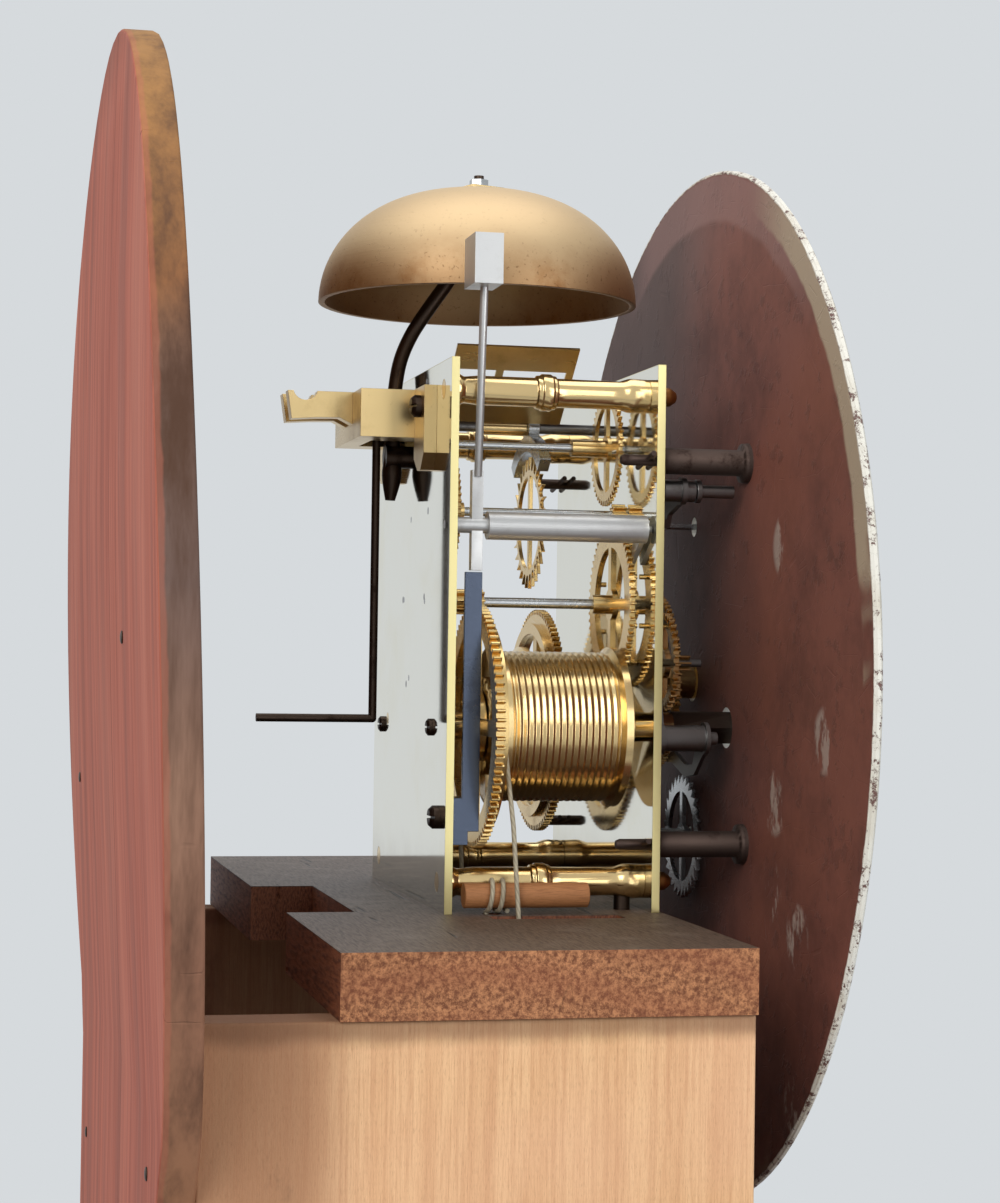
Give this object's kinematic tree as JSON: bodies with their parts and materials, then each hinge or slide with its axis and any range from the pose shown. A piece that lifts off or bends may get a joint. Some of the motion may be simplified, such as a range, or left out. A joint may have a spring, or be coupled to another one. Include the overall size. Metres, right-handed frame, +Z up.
{
  "type": "longcase clock",
  "caption": "Longcase clock without its hood: pine case, two-train striking movement on its seat board, round painted dial, bell, weights and pendulum.",
  "frame": {"origin": "on the floor, under the middle of the case's footprint", "axes": "+Z up, -Y towards the person who reads the dial, +X to that person's right"},
  "size_m": [0.4, 0.2237, 1.9548],
  "materials": {
    "painted_pine": "old red-brown paint on pine, streaky",
    "bare_pine": "bare aged pine",
    "oak_front": "dark polished wood",
    "seat_wood": "rough red-brown softwood, dark top",
    "peg_wood": "smooth orange dowel",
    "plate_brass": "polished pale brass",
    "brass": "polished golden brass",
    "bell_bronze": "satin cast bell metal",
    "steel": "bright turned steel",
    "dark_steel": "browned steel",
    "blued_steel": "blued steel",
    "dial_paint": "white painted iron front, red-brown primer back",
    "weight_iron": "cast iron, dull",
    "gut": "gut line"
  },
  "bodies": {
    "case_and_frame": {"backboard": "painted_pine", "trunk_sides": "bare_pine", "trunk_front_frame": "oak_front", "hinge_pins": "brass", "case_mouldings": "oak_front", "base_case": "oak_front", "floor_board": "bare_pine", "seat_board": "seat_wood", "back_plate": "plate_brass", "front_plate": "plate_brass", "pillars": "brass", "steel_screws": "steel", "back_cock": "brass", "bell_stand": "dark_steel", "bell": "bell_bronze", "bell_nut": "steel", "hammer_spring": "blued_steel", "front_studs": "steel", "line_pegs": "peg_wood", "gut_lines": "gut", "dial": "dial_paint", "dial_feet": "dark_steel", "going_falls": "gut", "strike_falls": "gut"},
    "door": {"trunk_door": "oak_front", "door_hardware": "brass"},
    "escape": {"escape_wheel": "brass", "escape_arbor": "steel", "seconds_hand": "blued_steel"},
    "third": {"third_wheel": "brass"},
    "centre": {"centre_wheel": "brass"},
    "going_great": {"going_great_wheel": "brass"},
    "going_drum": {"going_barrel": "brass"},
    "going_load": {"going_weight": "weight_iron"},
    "going_sheave": {"going_pulley": "brass"},
    "fly_vane": {"fly": "brass"},
    "warning": {"warning_wheel": "brass"},
    "gathering": {"gathering_wheel": "brass", "gathering_pallet": "steel"},
    "pins": {"pin_wheel": "brass"},
    "strike_great": {"strike_great_wheel": "brass"},
    "strike_drum": {"strike_barrel": "brass"},
    "strike_load": {"strike_weight": "weight_iron"},
    "strike_sheave": {"strike_pulley": "brass"},
    "minute": {"cannon_wheel": "brass", "minute_hand": "blued_steel"},
    "minute_idler": {"minute_wheel": "brass"},
    "hour": {"hour_wheel": "brass", "hour_hand": "blued_steel"},
    "date": {"date_wheel": "steel"},
    "hammer_lever": {"hammer": "steel"},
    "rack_lever": {"rack": "steel"},
    "hook_lever": {"rack_hook": "steel"},
    "lifter": {"lifting_piece": "steel"},
    "pendulum_top": {"suspension": "steel"},
    "pendulum": {"pendulum_rod": "steel", "pendulum_bob": "brass"},
    "pallets": {"anchor": "dark_steel", "pallet_arbor": "dark_steel"}
  },
  "joints": [
    {"name": "trunk_door", "type": "hinge", "parent": "case_and_frame", "child": "door", "pos_m": [0.1116, -0.0865, 1], "axis": [0, 0, 1], "range_deg": [0, 115]},
    {"name": "escape_wheel", "type": "hinge", "parent": "case_and_frame", "child": "escape", "pos_m": [0, 0.007, 1.8095], "axis": [0, -1, 0], "continuous": true},
    {"name": "third_wheel", "type": "hinge", "parent": "case_and_frame", "child": "third", "pos_m": [0.0103, 0.007, 1.7841], "axis": [0, -1, 0], "continuous": true},
    {"name": "centre_wheel", "type": "hinge", "parent": "case_and_frame", "child": "centre", "pos_m": [0, 0.007, 1.759], "axis": [0, -1, 0], "continuous": true},
    {"name": "going_great_wheel", "type": "hinge", "parent": "case_and_frame", "child": "going_great", "pos_m": [0.037, 0.007, 1.745], "axis": [0, -1, 0], "continuous": true},
    {"name": "fly", "type": "hinge", "parent": "case_and_frame", "child": "fly_vane", "pos_m": [-0.023, 0.007, 1.8514], "axis": [0, -1, 0], "continuous": true},
    {"name": "warning_wheel", "type": "hinge", "parent": "case_and_frame", "child": "warning", "pos_m": [-0.025, 0.007, 1.832], "axis": [0, -1, 0], "continuous": true},
    {"name": "gathering_wheel", "type": "hinge", "parent": "case_and_frame", "child": "gathering", "pos_m": [-0.028, 0.007, 1.811], "axis": [0, -1, 0], "continuous": true},
    {"name": "pin_wheel", "type": "hinge", "parent": "case_and_frame", "child": "pins", "pos_m": [-0.0245, 0.007, 1.7831], "axis": [0, -1, 0], "continuous": true},
    {"name": "strike_great_wheel", "type": "hinge", "parent": "case_and_frame", "child": "strike_great", "pos_m": [-0.037, 0.007, 1.745], "axis": [0, -1, 0], "continuous": true},
    {"name": "going_winding", "type": "hinge", "parent": "going_great", "child": "going_drum", "pos_m": [0.037, 0.007, 1.745], "axis": [0, 1, 0], "range_deg": [0, 5760]},
    {"name": "going_weight_rise", "type": "slide", "parent": "case_and_frame", "child": "going_load", "axis": [0, 0, 1], "range_m": [0, 1.1908], "deforming": ["going_falls"]},
    {"name": "going_pulley_spin", "type": "hinge", "parent": "going_load", "child": "going_sheave", "pos_m": [0.038, -0.015, 0.36], "axis": [0, -1, 0], "range_deg": [0, 2750]},
    {"name": "strike_winding", "type": "hinge", "parent": "strike_great", "child": "strike_drum", "pos_m": [-0.037, 0.007, 1.745], "axis": [0, 1, 0], "range_deg": [0, 5760]},
    {"name": "strike_weight_rise", "type": "slide", "parent": "case_and_frame", "child": "strike_load", "axis": [0, 0, 1], "range_m": [0, 1.1908], "deforming": ["strike_falls"]},
    {"name": "strike_pulley_spin", "type": "hinge", "parent": "strike_load", "child": "strike_sheave", "pos_m": [-0.053, -0.015, 0.36], "axis": [0, -1, 0], "range_deg": [0, 2750]},
    {"name": "set_hands", "type": "hinge", "parent": "case_and_frame", "child": "minute", "pos_m": [0, 0.007, 1.759], "axis": [0, -1, 0], "continuous": true},
    {"name": "minute_wheel", "type": "hinge", "parent": "case_and_frame", "child": "minute_idler", "pos_m": [-0.0294, 0.007, 1.765], "axis": [0, -1, 0], "continuous": true},
    {"name": "hour_wheel", "type": "hinge", "parent": "case_and_frame", "child": "hour", "pos_m": [0, 0.007, 1.759], "axis": [0, -1, 0], "continuous": true},
    {"name": "date_wheel", "type": "hinge", "parent": "case_and_frame", "child": "date", "pos_m": [0, 0.007, 1.7085], "axis": [0, 1, 0], "continuous": true},
    {"name": "hammer", "type": "hinge", "parent": "case_and_frame", "child": "hammer_lever", "pos_m": [-0.054, 0.007, 1.8055], "axis": [0, -1, 0], "range_deg": [-2.4, 9], "stiffness_Nm_per_rad": 0.5},
    {"name": "rack_fall", "type": "hinge", "parent": "case_and_frame", "child": "rack_lever", "pos_m": [-0.05, 0.007, 1.742], "axis": [0, -1, 0], "range_deg": [0, 18.6]},
    {"name": "lifting_piece", "type": "hinge", "parent": "case_and_frame", "child": "lifter", "pos_m": [0.004, 0.007, 1.798], "axis": [0, 1, 0], "range_deg": [0, 5]},
    {"name": "rack_hook", "type": "hinge", "parent": "case_and_frame", "child": "hook_lever", "pos_m": [-0.052, 0.007, 1.8177], "axis": [0, -1, 0], "range_deg": [0, 4]},
    {"name": "pendulum_lift", "type": "slide", "parent": "case_and_frame", "child": "pendulum_top", "axis": [0, 0, 1], "range_m": [0, 0.749]},
    {"name": "pendulum_swing", "type": "hinge", "parent": "pendulum_top", "child": "pendulum", "pos_m": [0, 0.062, 1.0928], "axis": [0, -1, 0], "range_deg": [-2.5, 2.5]},
    {"name": "crutch", "type": "hinge", "parent": "case_and_frame", "child": "pallets", "pos_m": [0, 0.007, 1.84], "axis": [0, -1, 0], "range_deg": [-2.6, 2.6]}
  ],
  "couplings": [
    {"joint": "third_wheel", "follows": "escape_wheel", "ratio": -0.125},
    {"joint": "centre_wheel", "follows": "escape_wheel", "ratio": 0.016667},
    {"joint": "going_great_wheel", "follows": "escape_wheel", "ratio": -0.0013889},
    {"joint": "warning_wheel", "follows": "fly", "ratio": -0.125},
    {"joint": "gathering_wheel", "follows": "fly", "ratio": 0.015625},
    {"joint": "pin_wheel", "follows": "fly", "ratio": -0.0019531},
    {"joint": "strike_great_wheel", "follows": "fly", "ratio": 0.00018601},
    {"joint": "going_winding", "follows": "going_weight_rise", "rad_per_m": 84.388},
    {"joint": "going_pulley_spin", "follows": "going_weight_rise", "rad_per_m": 40},
    {"joint": "strike_winding", "follows": "strike_weight_rise", "rad_per_m": 84.388},
    {"joint": "strike_pulley_spin", "follows": "strike_weight_rise", "rad_per_m": 40},
    {"joint": "minute_wheel", "follows": "set_hands", "ratio": -1},
    {"joint": "hour_wheel", "follows": "set_hands", "ratio": 0.083333},
    {"joint": "rack_hook", "follows": "lifting_piece", "ratio": 0.68},
    {"joint": "crutch", "follows": "pendulum_swing", "ratio": 1}
  ]
}
